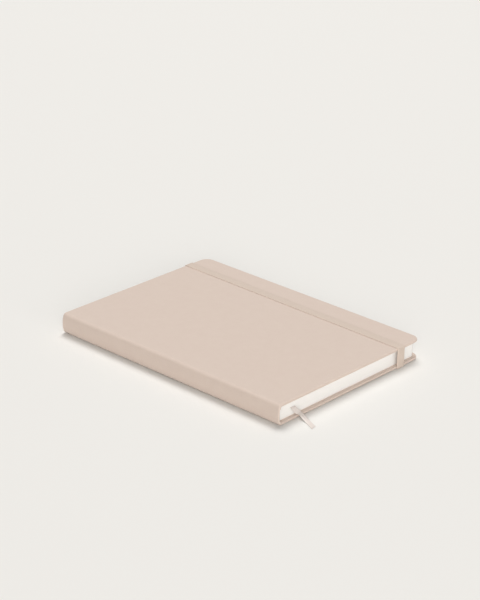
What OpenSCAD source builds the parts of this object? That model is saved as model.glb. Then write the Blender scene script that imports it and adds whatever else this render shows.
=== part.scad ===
// Hardcover notebook with a soft-touch cover, an elastic closure and a ribbon marker.
// It lies closed on its back cover: X runs from spine to fore edge, Y from tail to head, Z up.
// The origin is under the middle of the closed book, on the surface that it lies on.

/* [Pages] */
// Width of a page, spine fold to fore edge
page_w = 149; // [100:1:210]
// Height of a page, tail to head
page_h = 210; // [140:1:297]
// Thickness of the sewn block, both flyleaves included
block_t = 11.3; // [10:0.1:20]
// Thickness of the endpaper sheet
leaf_t = 0.2; // [0.1:0.05:0.3]
// Number of folded sections that the block is sewn from
section_count = 12; // [8:1:16]
// How far the folds of the sections stand out at the spine
fold_depth = 0.3; // [0.2:0.05:0.4]
// Radius of the rounded page corners at the fore edge
page_corner_r = 4.4; // [2:0.2:10]

/* [Covers] */
// How far the covers stand out beyond the pages at head, tail and fore edge
square_w = 3; // [2:0.25:5]
// Thickness of the greyboard
board_t = 1.7; // [1.5:0.1:2.5]
// Thickness of the soft cover sheet
wrap_t = 0.4; // [0.3:0.05:0.5]
// Radius of the rounded cover corners at the fore edge
corner_r = 7.2; // [4:0.2:14]
// Rounding along the edges of the covers
edge_r = 0.9; // [0.7:0.05:1]
// Width of the cover sheet that is turned in over the boards
turn_in = 15; // [14:0.5:20]

/* [Spine] */
// From the plane of the spine's corners to the folds of the pages
spine_gap = 2.2; // [2:0.1:4]
// How far the spine bulges outwards at half its height
spine_bulge = 1.2; // [0.8:0.1:2]
// Rounding between the spine and the covers
spine_r = 3; // [1.6:0.1:3.2]
// From the folds of the pages to the spine edge of the boards
joint_w = 0.5; // [0.5:0.1:2]
// Thickness of the card strip inside the spine
strip_t = 0.4; // [0.3:0.05:0.5]
// Thickness of the cloth lining glued over the folds
lining_t = 0.3; // [0.2:0.05:0.4]
// How far the lining stops short of head and tail
lining_inset = 4; // [2:0.5:15]
// How far the lining stops short of both sides of the block
lining_margin = 0.5; // [0.4:0.1:1]

/* [Elastic] */
// Width of the elastic band
band_w = 8; // [5:0.5:12]
// Thickness of the elastic band
band_t = 0.6; // [0.5:0.05:1]
// From the fore edge of the covers to the middle of the band
band_inset = 22.1; // [16:0.1:40]
// How much nearer the fore edge the band lies at the head than at the tail
band_skew = 3; // [0:0.5:4]
// How far the band stands proud of the back cover
band_proud = 0.3; // [0.2:0.05:0.4]
// From the head or tail edge of the back cover to the slot of the band
slot_inset = 12; // [10:0.5:13]
// Length of the glued end of the band inside the back cover
tab_l = 16; // [10:1:30]

/* [Ribbon] */
// Width of the ribbon marker
ribbon_w = 4; // [3:0.5:6]
// Thickness of the ribbon marker
ribbon_t = 0.3; // [0.2:0.05:0.4]
// From the folds of the pages to where the ribbon leaves them at the tail
ribbon_exit = 14; // [6:0.5:30]
// Slant of the ribbon's cut end, in degrees
ribbon_cut = 35; // [0:5:45]

/* [Hidden] */
$fn = 72;

// Clearances
air = 0.05;
slot_air = 0.2;
band_air = 0.1;
strip_clear = 0.4;
over = 1;

// Thicknesses across the closed book
case_t = board_t + wrap_t;
cover_t = case_t + leaf_t;
book_t = block_t + 2 * cover_t + 2 * air;
base_z = band_proud;
mid_z = base_z + book_t / 2;
block_z = base_z + cover_t + air;

// Plan of the closed book, centred on the origin
cover_h = page_h + 2 * square_w;
cover_w = spine_gap + page_w + square_w;
fore_x = (cover_w + spine_bulge) / 2;
corner_x = fore_x - cover_w;
fold_x = corner_x + spine_gap;
page_x = fold_x + page_w;
board_x = fold_x + joint_w;
band_x = fore_x - band_inset;
// Middle of the band where it goes round the head (0) and the tail (1)
function leg_x(side) = band_x + (0.5 - side) * band_skew;

// Channel in the back cover that the band lies in, and the slot that it goes through
channel_d = band_t - band_proud + air;
channel_w = band_w + 2 * slot_air;
slot_y = cover_h / 2 - slot_inset;
slot_w = band_t + 2 * slot_air;
recess_d = band_t + air;

// Spine seen from the tail: a shallow arc between two rounded corners
arc_r = (pow(book_t / 2, 2) + pow(spine_bulge, 2)) / (2 * spine_bulge);
arc_x = corner_x - spine_bulge + arc_r;
round_x = arc_x - sqrt(pow(arc_r - spine_r, 2) - pow(book_t / 2 - spine_r, 2));
round_a = atan2(book_t / 2 - spine_r, round_x - arc_x);
strip_h = book_t - 4 * cover_t - 2 * strip_clear;

// Route of the ribbon's centre line: x, y, z and the turn of its width from X towards Z.
// Its glued end and the turn over the head of the pages, from the head end of the folds
HEAD_ROUTE = [
    [-0.5, -20, 0, 90], [-0.5, -10, 0, 90], [-0.5, -1, 0, 90], [-0.5, 0.2, 0, 88],
    [-0.3, 1, 0, 80], [0.3, 1.7, 0, 65], [1.3, 2, 0, 45], [2.3, 1.8, 0, 25],
    [2.9, 1.2, 0, 10], [3.1, 0.4, 0, 0], [3.2, -1, 0, 0]
];
// From the tail of the pages down to the edge of the back cover
DROP_ROUTE = [
    [-0.1, 1, 0, 0], [-0.02, -0.3, -0.03, 0], [0.2, -0.85, -0.35, 10], [0.85, -1.25, -1.3, 26],
    [1.95, -1.6, -2.7, 36], [3.1, -1.9, -3.95, 34], [3.95, -2.35, -4.85, 20], [4.4, -3.1, -5.4, 6]
];
// From there down to its cut end on the table
FREE_ROUTE = [
    [4.35, -4.3, -5.72, 0], [4, -5.8, -6.1, 0], [3.65, -7.4, -6.66, 0], [3.25, -9.2, -7.25, 0],
    [2.65, -11.5, -7.77, 0], [1.45, -14.6, -8.03, 0], [-1.25, -20.7, -8.1, 0]
];
HEAD_POINT = [fold_x, page_h / 2, mid_z, 0];
TAIL_POINT = [fold_x + ribbon_exit, -page_h / 2, mid_z, 0];
RIBBON_ROUTE = concat(
    [for (p = HEAD_ROUTE) p + HEAD_POINT],
    [for (p = concat(DROP_ROUTE, FREE_ROUTE)) p + TAIL_POINT]
);
// First point past the edge of the back cover
FREE_START = len(HEAD_ROUTE) + len(DROP_ROUTE);
// First and last point of the straight run between the pages
RUN_START = RIBBON_ROUTE[len(HEAD_ROUTE) - 1];
RUN_END = RIBBON_ROUTE[len(HEAD_ROUTE)];

// Colours
SOFT_BEIGE = [0.855, 0.788, 0.733];
BAND_BEIGE = [0.8, 0.722, 0.655];
GREYBOARD = [0.62, 0.6, 0.57];
PAPER_WHITE = [0.955, 0.94, 0.92];
LINING_WHITE = [0.86, 0.86, 0.84];
RIBBON_CREAM = [0.93, 0.89, 0.86];

// Outline of a cover in plan, inset on its three free edges
module cover_outline(inset) {
    r = corner_r - inset;
    reach_x = fore_x - corner_r - board_x;
    reach_y = cover_h / 2 - corner_r;
    translate([board_x, -cover_h / 2 + inset]) square([reach_x, cover_h - 2 * inset]);
    translate([board_x, -reach_y]) square([reach_x + r, 2 * reach_y]);
    for (side = [-1, 1])
        translate([fore_x - corner_r, side * reach_y]) circle(r);
}

// Section through the rounded edge of a cover, outwards from the straight part
module edge_section() {
    translate([-over, 0]) square([over, case_t]);
    translate([0, edge_r]) square([edge_r, case_t - 2 * edge_r]);
    intersection() {
        union() {
            translate([0, edge_r]) circle(edge_r);
            translate([0, case_t - edge_r]) circle(edge_r);
        }
        square([edge_r, case_t]);
    }
}

// Whole cover without its endpaper, outer face down, with rounded edges on three sides
module rounded_plate() {
    straight_x = fore_x - corner_r - board_x;
    straight_y = cover_h - 2 * corner_r;
    linear_extrude(case_t) cover_outline(edge_r);
    translate([fore_x - edge_r, straight_y / 2, 0])
        rotate([90, 0, 0]) linear_extrude(straight_y) edge_section();
    for (side = [0, 1]) mirror([0, side, 0]) {
        translate([board_x, cover_h / 2 - edge_r, 0])
            rotate([90, 0, 90]) linear_extrude(straight_x) edge_section();
        translate([fore_x - corner_r, cover_h / 2 - corner_r, 0])
            rotate_extrude(angle = 90) translate([corner_r - edge_r, 0]) edge_section();
    }
}

// Channel across the head and tail ends of the back cover; grow leaves room for the cover sheet
module band_channels(grow) {
    w = channel_w + 2 * grow;
    l = slot_inset + slot_w / 2 + grow;
    for (side = [0, 1]) mirror([0, side, 0])
        translate([leg_x(side) - w / 2, cover_h / 2 - l, -over])
            cube([w, l + over, over + channel_d + grow]);
}

// Slots through the back cover and the recesses that hold the glued ends of the band
module band_slots() {
    for (side = [0, 1]) mirror([0, side, 0])
        translate([leg_x(side) - channel_w / 2, 0, 0]) {
            translate([0, slot_y - slot_w / 2, -over]) cube([channel_w, slot_w, case_t + 2 * over]);
            translate([0, slot_y - tab_l - slot_air, case_t - recess_d])
                cube([channel_w, tab_l + slot_air, recess_d + over]);
        }
}

// Greyboard, thinned by the cover sheet where the sheet is turned in over it
module board_blank() {
    window_w = fore_x - turn_in - board_x;
    window_h = cover_h - 2 * turn_in;
    translate([0, 0, wrap_t]) linear_extrude(case_t - 2 * wrap_t) cover_outline(wrap_t);
    translate([board_x, -window_h / 2, wrap_t]) cube([window_w, window_h, case_t - wrap_t]);
}

module board_with_channels() {
    difference() {
        board_blank();
        band_channels(wrap_t);
    }
}

// Endpaper half that is pasted to a cover, in line with the pages
module page_outline() {
    r = page_corner_r;
    translate([fold_x, -page_h / 2]) square([page_w - r, page_h]);
    translate([fold_x, -page_h / 2 + r]) square([page_w, page_h - 2 * r]);
    for (side = [-1, 1])
        translate([page_x - r, side * (page_h / 2 - r)]) circle(r);
}

// Places what is drawn outer face down as the front cover, outer face up
module as_front_cover() {
    translate([0, 0, base_z + book_t]) mirror([0, 0, 1]) children();
}

module back_board() {
    color(GREYBOARD) translate([0, 0, base_z]) difference() {
        board_with_channels();
        band_slots();
    }
}

module front_board() {
    color(GREYBOARD) as_front_cover() board_blank();
}

module back_wrap() {
    color(SOFT_BEIGE) translate([0, 0, base_z]) difference() {
        rounded_plate();
        board_with_channels();
        band_channels(0);
        band_slots();
    }
}

module front_wrap() {
    color(SOFT_BEIGE) as_front_cover() difference() {
        rounded_plate();
        board_blank();
    }
}

module back_pastedown() {
    color(PAPER_WHITE) translate([0, 0, base_z + case_t]) linear_extrude(leaf_t) page_outline();
}

module front_pastedown() {
    color(PAPER_WHITE) as_front_cover() translate([0, 0, case_t])
        linear_extrude(leaf_t) page_outline();
}

module back_flyleaf() {
    color(PAPER_WHITE) translate([0, 0, block_z]) linear_extrude(leaf_t) page_outline();
}

module front_flyleaf() {
    color(PAPER_WHITE) translate([0, 0, block_z + block_t - leaf_t])
        linear_extrude(leaf_t) page_outline();
}

// Section through the sewn block: a rectangle with the round fold of each section at the spine
module block_section() {
    t = block_t - 2 * leaf_t;
    fold_r = t / section_count / 2;
    translate([fold_x + fold_depth, 0]) square([page_w - fold_depth, t]);
    for (i = [0:section_count - 1])
        translate([fold_x + fold_r, (2 * i + 1) * fold_r]) circle(fold_r);
}

// Gap between two pages that the ribbon lies in, along its straight run
module ribbon_gap() {
    dx = RUN_END[0] - RUN_START[0];
    dy = RUN_END[1] - RUN_START[1];
    gap_w = ribbon_w + 2 * slot_air;
    gap_t = ribbon_t + slot_air;
    translate([(RUN_START[0] + RUN_END[0]) / 2, (RUN_START[1] + RUN_END[1]) / 2, RUN_START[2]])
        rotate([0, 0, atan2(-dx, dy)])
            cube([gap_w, page_h + 4 * over, gap_t], center = true);
}

module page_block() {
    color(PAPER_WHITE) difference() {
        intersection() {
            translate([0, page_h / 2, block_z + leaf_t])
                rotate([90, 0, 0]) linear_extrude(page_h) block_section();
            translate([0, 0, block_z]) linear_extrude(block_t) page_outline();
        }
        ribbon_gap();
    }
}

module spine_lining() {
    color(LINING_WHITE)
        translate([fold_x - lining_t, -page_h / 2 + lining_inset, block_z + lining_margin])
            cube([lining_t, page_h - 2 * lining_inset, block_t - 2 * lining_margin]);
}

// Everything inside the spine's outer surface, at a depth below it, seen from the tail
module spine_region(depth, end_x) {
    far = arc_r + over;
    start_x = corner_x - spine_bulge - over;
    intersection() {
        translate([start_x, depth]) square([end_x - start_x, book_t - 2 * depth]);
        union() {
            difference() {
                translate([arc_x, book_t / 2]) circle(arc_r - depth, $fn = 180);
                for (side = [0, 1]) translate([0, side * book_t]) mirror([0, side]) polygon([
                    [round_x, spine_r], [round_x, -over], [start_x, -over],
                    [arc_x + far * cos(round_a), book_t / 2 - far * sin(round_a)]
                ]);
            }
            for (z = [spine_r, book_t - spine_r]) translate([round_x, z]) circle(spine_r - depth);
        }
    }
}

// Layer of the spine between two depths below its outer surface, open towards the boards
module spine_layer(from, to) {
    difference() {
        spine_region(from, board_x - air);
        spine_region(to, board_x + over);
    }
}

// Band of height h across the middle of the spine, used to cut out the strip
module spine_middle(h) {
    translate([corner_x - spine_bulge - over, book_t / 2 - h / 2])
        square([spine_gap + spine_bulge + over, h]);
}

module along_spine(l) {
    translate([0, l / 2, base_z]) rotate([90, 0, 0]) linear_extrude(l) children();
}

module strip_section() {
    intersection() {
        spine_layer(wrap_t, wrap_t + strip_t);
        spine_middle(strip_h);
    }
}

// The cover sheet folded back over the end of the strip, seen from the tail.
// It starts a little inside the outer layer, so that the two are one sheet
module turned_section() {
    spine_layer(wrap_t - air, 2 * wrap_t);
    intersection() {
        spine_layer(wrap_t - air, 2 * wrap_t + strip_t);
        spine_middle(strip_h + 2 * wrap_t);
    }
}

module spine_strip() {
    color(GREYBOARD) along_spine(cover_h - 2 * wrap_t) strip_section();
}

module spine_wrap() {
    color(SOFT_BEIGE) {
        along_spine(cover_h) spine_layer(0, wrap_t);
        for (side = [0, 1]) mirror([0, side, 0])
            translate([0, cover_h / 2 - turn_in / 2, 0]) along_spine(turn_in)
                difference() {
                    turned_section();
                    strip_section();
                }
        for (side = [0, 1]) mirror([0, side, 0])
            translate([0, cover_h / 2 - wrap_t / 2, 0]) along_spine(wrap_t) turned_section();
    }
}

// Inner faces and bends of the band round the closed book
band_y = cover_h / 2 + band_air;
band_z = base_z + book_t + band_air;
band_r = edge_r + band_air;

// Section through the band at the head, seen from the spine side: from its bend over the edge
// of the front cover, down and under the back cover, to its glued end
module leg_section() {
    slot_side = slot_y - band_t / 2;
    tab_z = base_z + case_t - recess_d + air / 2;
    // Bend over the edge of the front cover
    translate([band_y - band_r, band_z - band_r]) intersection() {
        difference() {
            circle(band_r + band_t);
            circle(band_r);
        }
        square(band_r + band_t);
    }
    // Leg down the head
    translate([band_y, band_t]) square([band_t, band_z - band_r - band_t]);
    // Bend under the back cover
    translate([band_y, band_t]) intersection() {
        circle(band_t);
        translate([0, -band_t]) square(band_t);
    }
    // Run under the back cover, then up through the slot and along to the glued end
    translate([slot_side, 0]) square([band_y - slot_side, band_t]);
    translate([slot_side, 0]) square([band_t, tab_z + band_t]);
    translate([slot_side + band_t - tab_l, tab_z]) square([tab_l, band_t]);
}

module elastic_band() {
    run_y = band_y - band_r;
    color(BAND_BEIGE) {
        // Run across the front cover, slanted a little
        translate([0, 0, band_z]) linear_extrude(band_t) polygon([
            [leg_x(1) - band_w / 2, -run_y], [leg_x(1) + band_w / 2, -run_y],
            [leg_x(0) + band_w / 2, run_y], [leg_x(0) - band_w / 2, run_y]
        ]);
        for (side = [0, 1]) mirror([0, side, 0]) translate([leg_x(side) - band_w / 2, 0, 0])
            rotate([90, 0, 90]) linear_extrude(band_w) leg_section();
    }
}

// Corner points of the ribbon's flat section at one point of its route
function unit(v) = v / norm(v);
function at(i) = [RIBBON_ROUTE[i][0], RIBBON_ROUTE[i][1], RIBBON_ROUTE[i][2]];
function heading(i) = unit(at(min(i + 1, len(RIBBON_ROUTE) - 1)) - at(max(i - 1, 0)));
function turned(i) = [cos(RIBBON_ROUTE[i][3]), 0, sin(RIBBON_ROUTE[i][3])];
// Past the edge of the cover, the width lies square to the route
function across(i) = i < FREE_START ? turned(i)
    : unit(turned(i) - (turned(i) * heading(i)) * heading(i));
function slant(i) = i < len(RIBBON_ROUTE) - 1 ? 0 : tan(ribbon_cut) * ribbon_w / 2;
function ribbon_ring(i) =
    let (
        side = across(i) * ribbon_w / 2 - heading(i) * slant(i),
        face = unit(cross(heading(i), across(i))) * ribbon_t / 2
    )
    [at(i) - side - face, at(i) + side - face, at(i) + side + face, at(i) - side + face];

module ribbon_marker() {
    n = len(RIBBON_ROUTE);
    walls = [for (i = [0:n - 2]) for (k = [0:3])
        [4 * i + k, 4 * i + (k + 1) % 4, 4 * i + 4 + (k + 1) % 4, 4 * i + 4 + k]];
    last = 4 * (n - 1);
    color(RIBBON_CREAM) polyhedron(
        points = [for (i = [0:n - 1]) each ribbon_ring(i)],
        faces = concat([[3, 2, 1, 0]], walls, [[last, last + 1, last + 2, last + 3]])
    );
}

page_block();
front_flyleaf();
back_flyleaf();
spine_lining();
spine_strip();
spine_wrap();
ribbon_marker();
front_wrap();
front_board();
front_pastedown();
back_wrap();
back_board();
back_pastedown();
elastic_band();
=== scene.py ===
import math
import bmesh
import bpy
from mathutils import Matrix, Vector


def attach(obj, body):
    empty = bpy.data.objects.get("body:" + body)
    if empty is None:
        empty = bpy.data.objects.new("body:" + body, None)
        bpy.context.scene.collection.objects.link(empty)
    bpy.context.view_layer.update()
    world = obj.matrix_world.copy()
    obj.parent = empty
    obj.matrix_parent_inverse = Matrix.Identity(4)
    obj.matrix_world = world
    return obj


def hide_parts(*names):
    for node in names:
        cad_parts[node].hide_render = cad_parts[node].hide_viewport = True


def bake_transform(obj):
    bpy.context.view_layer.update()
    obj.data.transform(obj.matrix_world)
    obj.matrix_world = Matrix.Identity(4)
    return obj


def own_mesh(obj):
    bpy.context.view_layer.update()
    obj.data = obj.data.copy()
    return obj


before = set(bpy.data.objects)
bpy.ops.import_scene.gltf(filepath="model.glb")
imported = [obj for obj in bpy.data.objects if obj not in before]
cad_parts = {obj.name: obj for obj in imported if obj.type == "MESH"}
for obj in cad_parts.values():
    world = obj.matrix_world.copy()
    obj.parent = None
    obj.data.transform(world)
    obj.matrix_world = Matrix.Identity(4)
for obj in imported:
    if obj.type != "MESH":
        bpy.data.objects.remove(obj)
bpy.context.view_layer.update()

# --- Camera ---
# The photograph's view, fitted to the outline of the covers: a long lens in front of the corner
# where the spine meets the tail, about 25 degrees above the table.
MM = 0.001
# In pixels, with the photograph's longer side first
PHOTO_SIDE, FOCAL_PIXELS, SHIFT_PIXELS = 600.0, 1932.0, 35.0
# In millimetres and in metres
SENSOR, DISTANCE = 36.0, 1.424
azimuth, elevation, roll = math.radians(-47.633), math.radians(24.649), math.radians(1.125)
target = Vector((0.49, 0.19, 8.3)) * MM
back = Vector((math.sin(azimuth) * math.cos(elevation),
               -math.cos(azimuth) * math.cos(elevation), math.sin(elevation)))
level = Vector((math.cos(azimuth), math.sin(azimuth), 0.0))
upright = back.cross(level)
right = level * math.cos(roll) + upright * math.sin(roll)
up = upright * math.cos(roll) - level * math.sin(roll)
camera_data = bpy.data.cameras.new("camera")
camera_data.sensor_width = SENSOR
camera_data.lens = SENSOR * FOCAL_PIXELS / PHOTO_SIDE
camera_data.shift_y = SHIFT_PIXELS / PHOTO_SIDE
camera_data.clip_start, camera_data.clip_end = 0.05, 20.0
camera = bpy.data.objects.new("camera", camera_data)
bpy.context.scene.collection.objects.link(camera)
camera.matrix_world = (Matrix.Translation(target + back * DISTANCE)
                       @ Matrix((right, up, back)).transposed().to_4x4())
bpy.context.scene.camera = camera

# --- Ribbon marker ---
# A 4 mm satin ribbon, glued at its upper end to the folds at the head. It goes over the head, down
# through the pages and out at the tail, hangs over the back cover and lies on the table. Its free
# end is cut at a slant. The route is that of the part's source, with its bends smoothed.
FOLD_X, MID_Z, PAGE_END = -74.3, 8.3, 105.0
RIBBON_INSET, RIBBON_W, RIBBON_T, RIBBON_SLANT = 14.0, 4.0, 0.3, math.radians(35)
RIBBON_STEPS = 5
# Each place: X, Y and Z in millimetres from the folds at the end of the pages, and the width's turn
# out of the level in degrees
head_route = [(-0.5, -20, 0, 90), (-0.5, -10, 0, 90), (-0.5, -1, 0, 90), (-0.5, 0.2, 0, 88),
              (-0.3, 1, 0, 80), (0.3, 1.7, 0, 65), (1.3, 2, 0, 45), (2.3, 1.8, 0, 25),
              (2.9, 1.2, 0, 10), (3.1, 0.4, 0, 0), (3.2, -1, 0, 0)]
drop_route = [(-0.1, 1, 0, 0), (-0.02, -0.3, -0.03, 0), (0.2, -0.85, -0.35, 10),
              (0.85, -1.25, -1.3, 26), (1.95, -1.6, -2.7, 36), (3.1, -1.9, -3.95, 34),
              (3.95, -2.35, -4.85, 20), (4.4, -3.1, -5.4, 6)]
free_route = [(4.35, -4.3, -5.72, 0), (4, -5.8, -6.1, 0), (3.65, -7.4, -6.66, 0),
              (3.25, -9.2, -7.25, 0), (2.65, -11.5, -7.77, 0), (1.45, -14.6, -8.03, 0),
              (-1.25, -20.7, -8.1, 0)]
route = ([(x + FOLD_X, y + PAGE_END, z + MID_Z, turn) for x, y, z, turn in head_route]
         + [(x + FOLD_X + RIBBON_INSET, y - PAGE_END, z + MID_Z, turn)
            for x, y, z, turn in drop_route + free_route])


def linear(r, g, b):
    """An sRGB colour from 0 to 255, as linear values."""
    return tuple((c / 255 / 12.92) if c / 255 <= 0.04045 else ((c / 255 + 0.055) / 1.055) ** 2.4
                 for c in (r, g, b))


def node(tree, kind, sockets, **settings):
    """A shader node. Each of its sockets is set to a value or linked to another node's output."""
    made = tree.nodes.new(kind)
    for key, value in settings.items():
        setattr(made, key, value)
    for key, value in sockets.items():
        if isinstance(value, bpy.types.NodeSocket):
            tree.links.new(value, made.inputs[key])
        else:
            made.inputs[key].default_value = value
    return made


def node_group(name, inputs, outputs):
    """An empty shader node group: its tree, what it is given and what it gives."""
    tree = bpy.data.node_groups.new(name, "ShaderNodeTree")
    for way, names in (("INPUT", inputs), ("OUTPUT", outputs)):
        for socket, kind in names.items():
            tree.interface.new_socket(name=socket, in_out=way, socket_type="NodeSocket" + kind)
    return tree, tree.nodes.new("NodeGroupInput").outputs, tree.nodes.new("NodeGroupOutput").inputs


# Grain: an uneven pattern, drawn out along the axes with the smaller scales
grain_group, given, gives = node_group(
    "grain", {"Vector": "Vector", "Scale": "Vector", "Detail": "Float", "Roughness": "Float"},
    {"Height": "Float"})
drawn = node(grain_group, "ShaderNodeVectorMath", {0: given["Vector"], 1: given["Scale"]},
             operation="MULTIPLY")
pattern = node(grain_group, "ShaderNodeTexNoise",
               {"Vector": drawn.outputs[0], "Scale": 1.0, "Detail": given["Detail"],
                "Roughness": given["Roughness"]})
grain_group.links.new(pattern.outputs["Fac"], gives["Height"])

# Tones: a dark and a light tone by a pattern's height
tone_group, given, gives = node_group(
    "tones", {"Height": "Float", "Low": "Float", "High": "Float",
              "Dark": "Color", "Light": "Color"}, {"Colour": "Color"})
share = node(tone_group, "ShaderNodeMapRange",
             {"Value": given["Height"], "From Min": given["Low"], "From Max": given["High"]})
mixed = node(tone_group, "ShaderNodeMix",
             {"Factor": share.outputs["Result"], "A": given["Dark"], "B": given["Light"]},
             data_type="RGBA")
tone_group.links.new(mixed.outputs["Result"], gives["Colour"])


def material(name, colour, roughness):
    """A Principled material: the material, its node tree, its shader and the object coordinates."""
    made = bpy.data.materials.new(name)
    made.use_nodes = True
    tree = made.node_tree
    shader = tree.nodes["Principled BSDF"]
    shader.inputs["Base Color"].default_value = (*colour, 1.0)
    shader.inputs["Roughness"].default_value = roughness
    return made, tree, shader, node(tree, "ShaderNodeTexCoord", {}).outputs["Object"]


def grain(tree, place, scale, detail=2.0, roughness=0.5):
    made = node(tree, "ShaderNodeGroup", {"Vector": place, "Scale": scale, "Detail": detail,
                                          "Roughness": roughness}, node_tree=grain_group)
    return made.outputs["Height"]


def colour_by(tree, shader, height, low, high, dark, light):
    made = node(tree, "ShaderNodeGroup", {"Height": height, "Low": low, "High": high,
                                          "Dark": (*dark, 1.0), "Light": (*light, 1.0)},
                node_tree=tone_group)
    tree.links.new(made.outputs["Colour"], shader.inputs["Base Color"])


def raise_by(tree, shader, height, strength, distance):
    made = node(tree, "ShaderNodeBump", {"Height": height, "Strength": strength,
                                         "Distance": distance})
    tree.links.new(made.outputs["Normal"], shader.inputs["Normal"])


def laid_over(bm, sections, closed=True):
    """Lays a grid over a shape's sections, one row to each: its rows of vertices. The seam of a
    closed section is merged when the piece is finished."""
    if closed:
        sections = [[*section, section[0]] for section in sections]
    count = len(sections[0])
    made = bmesh.ops.create_grid(bm, x_segments=count - 1, y_segments=len(sections) - 1,
                                 size=1.0)["verts"]
    rows = [made[i * count:(i + 1) * count] for i in range(len(sections))]
    for row, section in zip(rows, sections):
        for vertex, point in zip(row, section):
            vertex.co = Vector(point) * MM
    return rows


def finished(name, bm, finish, sharp_deg=35.0, merge=0.002):
    """Merges and closes a mesh, points its faces outwards, and makes it a piece with a finish."""
    bmesh.ops.remove_doubles(bm, verts=bm.verts, dist=merge * MM)
    bmesh.ops.dissolve_degenerate(bm, dist=merge * MM, edges=bm.edges)
    bmesh.ops.holes_fill(bm, edges=[edge for edge in bm.edges if edge.is_boundary], sides=0)
    bmesh.ops.recalc_face_normals(bm, faces=bm.faces)
    mesh = bpy.data.meshes.new(name)
    bm.to_mesh(mesh)
    bm.free()
    mesh.polygons.foreach_set("use_smooth", [True] * len(mesh.polygons))
    mesh.set_sharp_from_angle(angle=math.radians(sharp_deg))
    mesh.materials.append(finish)
    piece = bpy.data.objects.new(name, mesh)
    bpy.context.scene.collection.objects.link(piece)
    return piece


def smoothed(places, steps):
    """Places on a curve through the given ones. A tangent is as long as the stretch between two."""
    points = [Vector(place[:3]) for place in places]
    line = []
    for i in range(len(points) - 1):
        a, b = points[i], points[i + 1]
        before = points[i - 1] if i else a - (b - a)
        after = points[i + 2] if i + 2 < len(points) else b + (b - a)
        length = (b - a).length
        leaving = (b - before).normalized() * length
        arriving = (after - a).normalized() * length
        for k in range(steps):
            t = k / steps
            point = (a * (2 * t ** 3 - 3 * t ** 2 + 1) + leaving * (t ** 3 - 2 * t ** 2 + t)
                     + b * (-2 * t ** 3 + 3 * t ** 2) + arriving * (t ** 3 - t ** 2))
            line.append((*point, places[i][3] + (places[i + 1][3] - places[i][3]) * t))
    line.append(places[-1])
    return line


# Satin: long floats along the ribbon, with a soft gloss
satin, tree, shader, place = material("satin_ribbon", linear(224, 213, 206), 0.36)
floats = grain(tree, place, (5200.0, 500.0, 900.0))
colour_by(tree, shader, floats, 0.3, 0.7, linear(212, 202, 196), linear(224, 215, 209))
raise_by(tree, shader, floats, 0.3, 0.00006)
shader.inputs["Sheen Weight"].default_value = 0.2
shader.inputs["Specular IOR Level"].default_value = 1.0

# Half of the section with its rounded selvedge, in half widths and half thicknesses
selvedge = [(0, 1), (0.5, 1), (0.94, 1), (0.985, 0.7), (1, 0), (0.985, -0.7), (0.94, -1), (0.5, -1)]
ribbon_section = selvedge + [(-u, -v) for u, v in selvedge]
line = smoothed(route, RIBBON_STEPS)
points = [Vector(place[:3]) for place in line]
sections = []
for i, (*_, turn) in enumerate(line):
    ahead = (points[min(i + 1, len(line) - 1)] - points[max(i - 1, 0)]).normalized()
    side = Vector((math.cos(math.radians(turn)), 0, math.sin(math.radians(turn))))
    # Past the cover's edge the width turns square to the route
    free = min(max(i / RIBBON_STEPS - (len(head_route) + len(drop_route) - 1), 0.0), 1.0)
    side = (side - ahead * side.dot(ahead) * free).normalized()
    face = ahead.cross(side).normalized()
    slant = RIBBON_W / 2 * math.tan(RIBBON_SLANT) if i == len(line) - 1 else 0.0
    sections.append([points[i] + side * RIBBON_W / 2 * u + face * RIBBON_T / 2 * v
                     - ahead * slant * u for u, v in ribbon_section])
bm = bmesh.new()
laid_over(bm, sections)
ribbon = finished("ribbon", bm, satin)
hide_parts("ribbon_marker")
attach(ribbon, "page_block")


# --- Page block ---
# Ivory writing paper in folded sections, sewn through the folds, glued and trimmed to rounded
# fore-edge corners. Its solid keeps its shape, and its cut edges show the leaves as fine lines.
def dress(finish, *names):
    """Gives nodes that keep their shape a finish."""
    for name in names:
        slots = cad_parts[name].data.materials
        slots.clear()
        slots.append(finish)


def maths(tree, operation, a, b=0.0):
    return node(tree, "ShaderNodeMath", {0: a, 1: b}, operation=operation).outputs[0]


def added(tree, a, share_a, b, share_b):
    """Two patterns, each times its share, added up."""
    return maths(tree, "ADD", maths(tree, "MULTIPLY", a, share_a),
                 maths(tree, "MULTIPLY", b, share_b))


cut_pages, tree, shader, place = material("page_edges", linear(249, 247, 244), 0.85)
leaves = grain(tree, place, (14.0, 14.0, 9000.0), 2.0, 0.6)
gatherings = grain(tree, place, (4.0, 4.0, 1100.0), 1.0)
lines = added(tree, leaves, 0.65, gatherings, 0.35)
colour_by(tree, shader, lines, 0.36, 0.64, linear(240, 237, 233), linear(246, 245, 243))
raise_by(tree, shader, lines, 0.3, 0.0001)
dress(cut_pages, "page_block")

# --- Lining of the folds ---
# An open plain-woven cloth, glued over the sewn folds to hold them together. It shows only when a
# cover is open, and at the ends of the hollow spine.
weave_group, given, gives = node_group(
    "weave", {"Across": "Float", "Along": "Float", "Across Rate": "Float", "Along Rate": "Float"},
    {"Ribs": "Float", "Crossings": "Float"})
ribs, picks = [maths(weave_group, "SINE", maths(weave_group, "MULTIPLY", given[way],
                                                given[way + " Rate"]))
               for way in ("Across", "Along")]
weave_group.links.new(ribs, gives["Ribs"])
weave_group.links.new(maths(weave_group, "MULTIPLY", ribs, picks), gives["Crossings"])


def weave(tree, across, along, across_rate, along_rate):
    return node(tree, "ShaderNodeGroup", {"Across": across, "Along": along,
                                          "Across Rate": across_rate, "Along Rate": along_rate},
                node_tree=weave_group).outputs


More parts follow.
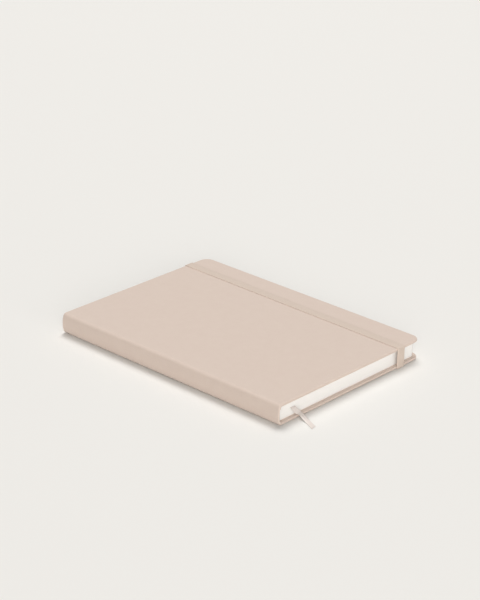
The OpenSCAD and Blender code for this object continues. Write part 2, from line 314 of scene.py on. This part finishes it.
lining, tree, shader, place = material("lining_cloth", linear(226, 225, 220), 0.9)
axes = node(tree, "ShaderNodeSeparateXYZ", {0: place}).outputs
threads = weave(tree, axes["Y"], axes["Z"], 7000.0, 7000.0)["Crossings"]
colour_by(tree, shader, threads, -1.0, 1.0, linear(205, 203, 196), linear(236, 235, 230))
raise_by(tree, shader, threads, 0.4, 0.0001)
dress(lining, "spine_lining")

# --- Endpapers ---
# Smooth ivory paper, one folded sheet at each end of the pages: the flyleaf is tipped to the block,
# and the pastedown is glued to the inside of the cover over the turned-in edges.
endpaper, tree, shader, place = material("endpaper", linear(245, 241, 235), 0.8)
fibres = grain(tree, place, (900.0, 1500.0, 900.0), 4.0)
colour_by(tree, shader, fibres, 0.3, 0.7, linear(242, 237, 230), linear(248, 244, 238))
raise_by(tree, shader, fibres, 0.15, 0.00004)
dress(endpaper, "front_flyleaf", "back_flyleaf", "front_pastedown", "back_pastedown")

# --- Boards ---
# Grey bookbinding board, 1.7 mm thick and cut with rounded fore-edge corners, inside each cover.
# The sheet and the pastedown hide it.
greyboard, tree, shader, place = material("greyboard", linear(158, 152, 145), 0.9)
fibres = grain(tree, place, (900.0, 900.0, 2600.0), 4.0)
colour_by(tree, shader, fibres, 0.3, 0.7, linear(138, 132, 126), linear(176, 170, 162))
raise_by(tree, shader, fibres, 0.4, 0.0001)
dress(greyboard, "front_board", "back_board")

# --- Cover sheet ---
# One soft-touch sheet, glued over both boards and the spine's card strip and turned in over the
# free edges. It is made as two halves that meet along the middle of the spine. The back half has a
# pressed channel for the band at the head and at the tail.
WRAP, CASE, EDGE_R, TURN_IN = 0.4, 2.1, 0.9, 15.0
BASE_Z, BOOK_T, COVER_H = 0.3, 16.0, 216.0
TOP_Z = BASE_Z + BOOK_T
FORE_X, CORNER_X, BOARD_X, CORNER_R = 77.7, -76.5, -73.8, 7.2
BULGE, SPINE_R = 1.2, 3.0
STRIP_H, STRIP_T = 6.0, 0.4
BAND_X, BAND_SKEW = 55.6, 3.0
CHANNEL_W, CHANNEL_D, CHANNEL_L = 8.4, 0.35, 12.5
# The channel's steep sides, the slope at its end, and how much sharper the cover's edge is under it
CHANNEL_SIDE, CHANNEL_SLOPE, CHANNEL_EDGE = 0.1, 0.4, 0.25
# Flat margins of the sheet's sections: past the strip, on the board, by an edge and by a corner
STRIP_FLAT, BOARD_FLAT, EDGE_FLAT, CORNER_FLAT = 0.3, 0.4, 0.2, 0.3
ARC_STEPS, ROUND_STEPS, EDGE_STEPS, CORNER_STEPS, STRIP_STEPS = 12, 10, 7, 16, 6
# HAIR is room for rounding where two lengths are compared
QUARTER, HAIR = math.pi / 2, 0.01

# Soft touch: a very fine pebbled grain under a matt film with a little sheen
soft_touch, tree, shader, place = material("soft_touch_cover", linear(213, 198, 186), 0.62)
clouds = grain(tree, place, (160.0,) * 3, 3.0)
speck = grain(tree, place, (1400.0,) * 3, 2.0)
colour_by(tree, shader, added(tree, clouds, 0.4, speck, 0.6), 0.35, 0.65,
          linear(214, 196, 184), linear(217, 200, 188))
pebbles = node(tree, "ShaderNodeTexVoronoi", {"Vector": place, "Scale": 1900.0},
               feature="SMOOTH_F1")
raise_by(tree, shader, added(tree, pebbles.outputs["Distance"], 1.0,
                             grain(tree, place, (600.0,) * 3, 3.0), 0.6), 0.22, 0.00006)
matt = node(tree, "ShaderNodeMapRange",
            {"Value": grain(tree, place, (420.0,) * 3, 3.0), "From Min": 0.3, "From Max": 0.7,
             "To Min": 0.58, "To Max": 0.66})
tree.links.new(matt.outputs["Result"], shader.inputs["Roughness"])
shader.inputs["Sheen Weight"].default_value = 0.12
shader.inputs["Sheen Roughness"].default_value = 0.5
shader.inputs["Specular IOR Level"].default_value = 0.35

# The spine's outer face from its middle up to the board: places with the inward direction
arc_r = ((BOOK_T / 2) ** 2 + BULGE ** 2) / (2 * BULGE)
arc_x = CORNER_X - BULGE + arc_r
round_x = arc_x - math.sqrt((arc_r - SPINE_R) ** 2 - (BOOK_T / 2 - SPINE_R) ** 2)
round_a = math.pi - math.asin((BOOK_T / 2 - SPINE_R) / (arc_r - SPINE_R))
profile = []
for k in range(ARC_STEPS + 1):
    a = math.pi + (round_a - math.pi) * k / ARC_STEPS
    profile.append((arc_x + arc_r * math.cos(a), MID_Z + arc_r * math.sin(a),
                    -math.cos(a), -math.sin(a)))
for k in range(1, ROUND_STEPS + 1):
    a = round_a + (QUARTER - round_a) * k / ROUND_STEPS
    profile.append((round_x + SPINE_R * math.cos(a), TOP_Z - SPINE_R + SPINE_R * math.sin(a),
                    -math.cos(a), -math.sin(a)))
for k in (1, 2):
    profile.append((round_x + (BOARD_X - round_x) * k / 2, TOP_Z, 0.0, -1.0))


def end_thickness(z):
    """Thickness of the turned-in end: over the strip, over nothing, and gathered to the board."""
    height = abs(z - MID_Z)
    if height < STRIP_H / 2 + STRIP_FLAT:
        return 2 * WRAP + STRIP_T
    ramp = (height - STRIP_H / 2 - STRIP_FLAT) / (BOOK_T / 2 - SPINE_R - STRIP_H / 2)
    ramp = min(max(ramp, 0.0), 1.0)
    return 2 * WRAP + (CASE - 2 * WRAP) * ramp * ramp * (3 - 2 * ramp)


def sheet_section(t, channel):
    """Section of the turned-in sheet at a free edge, of thickness t: the distance from the edge and
    the depth below the face. It goes along the face, round the edge and along the turned-in side to
    its end, and back inside the fold."""
    depth = CHANNEL_D if channel else 0.0
    turns = [QUARTER * k / EDGE_STEPS for k in range(EDGE_STEPS + 1)]
    r = min(EDGE_R, t / 2) - (CHANNEL_EDGE if channel else 0.0)
    points = [(TURN_IN, 0.0), (CHANNEL_L, 0.0), (CHANNEL_L - 0.12, depth * 0.75),
              (CHANNEL_L - CHANNEL_SLOPE, depth), (3.0, depth), (r + EDGE_FLAT, depth)]
    points += [(r - r * math.sin(a), depth + r - r * math.cos(a)) for a in turns]
    r = min(EDGE_R, (t - depth) / 2)
    points += [(r - r * math.cos(a), t - r + r * math.sin(a)) for a in turns]
    # The turned-in end's cut edge is a little rounded
    points += [(r + EDGE_FLAT, t), (TURN_IN - 0.4, t), (TURN_IN - 0.1, t - 0.05),
               (TURN_IN, t - 0.18), (TURN_IN, t - WRAP)]
    return points + [(WRAP + depth, t - WRAP), (WRAP, depth + WRAP),
                     (CHANNEL_L - CHANNEL_SLOPE, depth + WRAP), (CHANNEL_L + 0.2, WRAP),
                     (TURN_IN, WRAP)]


def turned_end(back_side, band_x):
    """Sections round the tail end, from the middle of the spine to just past the rounded corner."""
    sections = [[(x + nx * h, -COVER_H / 2 + d, z + nz * h)
                 for d, h in sheet_section(end_thickness(z), False)] for x, z, nx, nz in profile]
    half = CHANNEL_W / 2
    cuts = [(BOARD_X + BOARD_FLAT, False)]
    if back_side:
        cuts += [(band_x - half - CHANNEL_SIDE, False), (band_x - half, True),
                 (band_x + half, True), (band_x + half + CHANNEL_SIDE, False)]
    cuts.append((FORE_X - CORNER_R - CORNER_FLAT, False))
    sections += [[(min(x, FORE_X - d), -COVER_H / 2 + d, TOP_Z - h)
                  for d, h in sheet_section(CASE, channel)] for x, channel in cuts]
    for k in range(CORNER_STEPS + 1):
        a = -QUARTER + QUARTER * k / CORNER_STEPS
        section = []
        for d, h in sheet_section(CASE, False):
            # The turned-in end is folded to a mitre, and only its outer part goes round the corner
            x, y = FORE_X - d, -COVER_H / 2 + d
            if d < CORNER_R - HAIR:
                x = FORE_X - CORNER_R + (CORNER_R - d) * math.cos(a)
                y = -COVER_H / 2 + CORNER_R + (CORNER_R - d) * math.sin(a)
            section.append((x, y, TOP_Z - h))
        sections.append(section)
    sections.append([(FORE_X - d, -COVER_H / 2 + max(CORNER_R + CORNER_FLAT, d), TOP_Z - h)
                     for d, h in sheet_section(CASE, False)])
    return sections


def cover_sheet(name, back_side):
    """One half of the sheet, drawn for the front cover. The back cover's is mirrored in Z."""
    tail = turned_end(back_side, BAND_X - BAND_SKEW / 2)
    head = turned_end(back_side, BAND_X + BAND_SKEW / 2)
    sections = tail + [[(x, -y, z) for x, y, z in section] for section in reversed(head)]
    if back_side:
        sections = [[(x, y, 2 * MID_Z - z) for x, y, z in section] for section in sections]
    bm = bmesh.new()
    rows = laid_over(bm, sections, closed=False)
    # Over the spine and the joint, strips run from tail to head. The flat fields are then filled.
    for k in (0, -1):
        edges = [bm.edges.get((a[k], b[k]))
                 for ends in (rows[:len(profile)], rows[-len(profile):])
                 for a, b in zip(ends, ends[1:])]
        bmesh.ops.bridge_loops(bm, edges=edges)
    return finished(name, bm, soft_touch, sharp_deg=50.0, merge=0.004)


front_sheet = cover_sheet("front_cover_sheet", False)
back_sheet = cover_sheet("back_cover_sheet", True)
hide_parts("front_wrap", "spine_wrap")
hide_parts("back_wrap")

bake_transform(front_sheet)
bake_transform(back_sheet)


# --- Card strip of the spine ---
# A 0.4 mm card, 6 mm wide, glued to the inside of the sheet along the middle of the spine, which
# keeps it straight. Like the sheet, it is made in two halves.
def strip_half(name, back_side):
    outer, inner, end = arc_r - WRAP, arc_r - WRAP - STRIP_T, COVER_H / 2 - WRAP
    reach = math.asin(STRIP_H / 2 / arc_r) * (-1 if back_side else 1)
    angles = [math.pi - reach * k / STRIP_STEPS for k in range(STRIP_STEPS + 1)]
    bm = bmesh.new()
    laid_over(bm, [[(arc_x + r * math.cos(a), y, MID_Z + r * math.sin(a))
                    for r, y in ((outer, -end), (inner, -end), (inner, end), (outer, end))]
                   for a in angles])
    return finished(name, bm, greyboard)


front_strip = strip_half("spine_strip_upper", False)
back_strip = strip_half("spine_strip_lower", True)
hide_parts("spine_strip")
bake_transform(front_strip)
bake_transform(back_strip)

# --- Elastic band ---
# An 8 mm flat woven elastic round both covers near the fore edge. At the head and the tail it lies
# in the back cover's channels, goes through a slot and ends in a tab that is glued under the
# pastedown.
BAND_W, BAND_T, BAND_GAP = 8.0, 0.6, 0.1
# The bend over the front cover's edge by its inside, the one round the back cover's edge and the
# two at the slot by the band's middle, and how far the slot's bends are cut off halfway
BAND_R, BACK_R, SLOT_R, SLOT_CUT = EDGE_R + BAND_GAP, 0.5, 0.4, 0.12
SLOT_INSET, TAB_L, TAB_BEND = 12.0, 15.5, 0.5
# The recess in the cover that holds a glued tab, and the air under the tab
RECESS_D, RECESS_AIR = 0.65, 0.025
# The run over the front cover lies this much closer to it than the part's solid does
SINK = 0.06
EDGE_BEND_STEPS, BACK_BEND_STEPS = 8, 6
in_y, top_in, mid = COVER_H / 2 + BAND_GAP, TOP_Z + BAND_GAP, BAND_T / 2
slot_y = COVER_H / 2 - SLOT_INSET
tab_z = BASE_Z + CASE - RECESS_D + RECESS_AIR + mid

woven, tree, shader, place = material("woven_elastic", linear(214, 196, 182), 0.75)
axes = node(tree, "ShaderNodeSeparateXYZ", {0: place}).outputs
WARP_PITCH, WEFT_PITCH = 0.00055, 0.00042
threads = weave(tree, axes["X"], maths(tree, "ADD", axes["Y"], axes["Z"]),
                2 * math.pi / WARP_PITCH, 2 * math.pi / WEFT_PITCH)
height = added(tree, added(tree, threads["Ribs"], 0.6, threads["Crossings"], 0.4), 1.0,
               grain(tree, place, (2500.0,) * 3), 0.8)
colour_by(tree, shader, height, -0.8, 1.6, linear(206, 188, 174), linear(217, 201, 188))
raise_by(tree, shader, height, 0.35, 0.00009)
shader.inputs["Sheen Weight"].default_value = 0.2
shader.inputs["Specular IOR Level"].default_value = 0.3

# The band's middle from the head tab to the front cover, and then the same at the tail: Y, Z and
# the way inwards. That changes sides at the slot's bends, so the mesh is pinched at them.
path = [(slot_y - TAB_L, tab_z, 0, 1), (slot_y - TAB_BEND, tab_z, 0, 1),
        (slot_y - SLOT_CUT, tab_z - SLOT_CUT, -0.7, 0.7), (slot_y, tab_z - SLOT_R, -1, 0),
        (slot_y, mid + SLOT_R, -1, 0), (slot_y + SLOT_CUT, mid + SLOT_CUT, -0.7, 0.7),
        (slot_y + SLOT_R, mid, 0, 1), (in_y - BACK_R, mid, 0, 1)]
for k in range(1, BACK_BEND_STEPS + 1):
    a = QUARTER * k / BACK_BEND_STEPS
    path.append((in_y + mid - BACK_R + BACK_R * math.sin(a), mid + BACK_R - BACK_R * math.cos(a),
                 -math.sin(a), math.cos(a)))
path += [(in_y + mid, BASE_Z + 4.0, -1, 0), (in_y + mid, TOP_Z - 3.0, -1, 0)]
for k in range(EDGE_BEND_STEPS + 1):
    a = QUARTER * k / EDGE_BEND_STEPS
    path.append((in_y - BAND_R + (BAND_R + mid) * math.cos(a),
                 top_in - BAND_R + (BAND_R + mid) * math.sin(a), -math.cos(a), -math.sin(a)))
path += [(in_y - BAND_R - 6.0, top_in + mid, 0, -1), (in_y - BAND_R - 60.0, top_in + mid, 0, -1)]
path += [(-y, z, -ny, nz) for y, z, ny, nz in reversed(path)]
# The section's soft edge, in half widths and half thicknesses, from the outer to the inner face
soft_edge = [(0.6, -1), (0.82, -0.92), (0.9, -0.7), (0.95, -0.35), (0.985, 0.15), (1, 0.55),
             (0.99, 0.85), (0.97, 1), (0.5, 1)]
band_section = [(0, -1)] + soft_edge + [(0, 1)] + [(-u, v) for u, v in reversed(soft_edge)]
sections = []
for y, z, ny, nz in path:
    on_front = z > TOP_Z and ny == 0
    lean = y / (in_y - BAND_R) if on_front else math.copysign(1.0, y)
    x = BAND_X + BAND_SKEW / 2 * lean
    sink = SINK if on_front else 0.0
    sections.append([(x + u * BAND_W / 2, y + ny * v * mid, z + nz * v * mid - sink)
                     for u, v in band_section])
bm = bmesh.new()
laid_over(bm, sections)
band = finished("elastic", bm, woven, sharp_deg=60.0)
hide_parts("elastic_band")
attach(band, "back_cover")
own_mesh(band)

# --- Floor and light ---
# A plain pale floor under plain soft studio light: a large softbox from beside the camera, a weak
# one at the tail, and one from high up behind.
FLOOR_HALF, WORLD_LIGHT = 6.0, 0.2
WARM_WHITE, WARM_AIR = (1.0, 0.985, 0.965), (1.0, 0.985, 0.97, 1.0)
floor_finish = material("floor", linear(236, 235, 232), 0.9)[0]
bm = bmesh.new()
bmesh.ops.create_grid(bm, x_segments=1, y_segments=1, size=FLOOR_HALF)
floor_mesh = bpy.data.meshes.new("floor")
bm.to_mesh(floor_mesh)
bm.free()
floor_mesh.materials.append(floor_finish)
floor = bpy.data.objects.new("floor", floor_mesh)
bpy.context.scene.collection.objects.link(floor)

world = bpy.data.worlds.new("studio")
world.use_nodes = True
air = world.node_tree.nodes["Background"].inputs
air["Color"].default_value = WARM_AIR
air["Strength"].default_value = WORLD_LIGHT
bpy.context.scene.world = world
# Each lamp's place in metres, its side in metres and its watts
for name, place, size, power in (("key", (-3.55, -3.33, 1.93), 3.0, 162.0),
                                 ("fill", (-0.7, -5.08, 0.88), 2.1, 41.0),
                                 ("rim", (1.58, 1.49, 4.81), 2.6, 195.0)):
    light = bpy.data.lights.new(name, "AREA")
    light.shape, light.size, light.energy, light.color = "SQUARE", size, power, WARM_WHITE
    softbox = bpy.data.objects.new(name, light)
    softbox.location = place
    softbox.rotation_mode = "QUATERNION"
    softbox.rotation_quaternion = (-Vector(place)).to_track_quat("-Z", "Y")
    bpy.context.scene.collection.objects.link(softbox)
bpy.context.scene.view_settings.view_transform = "Standard"
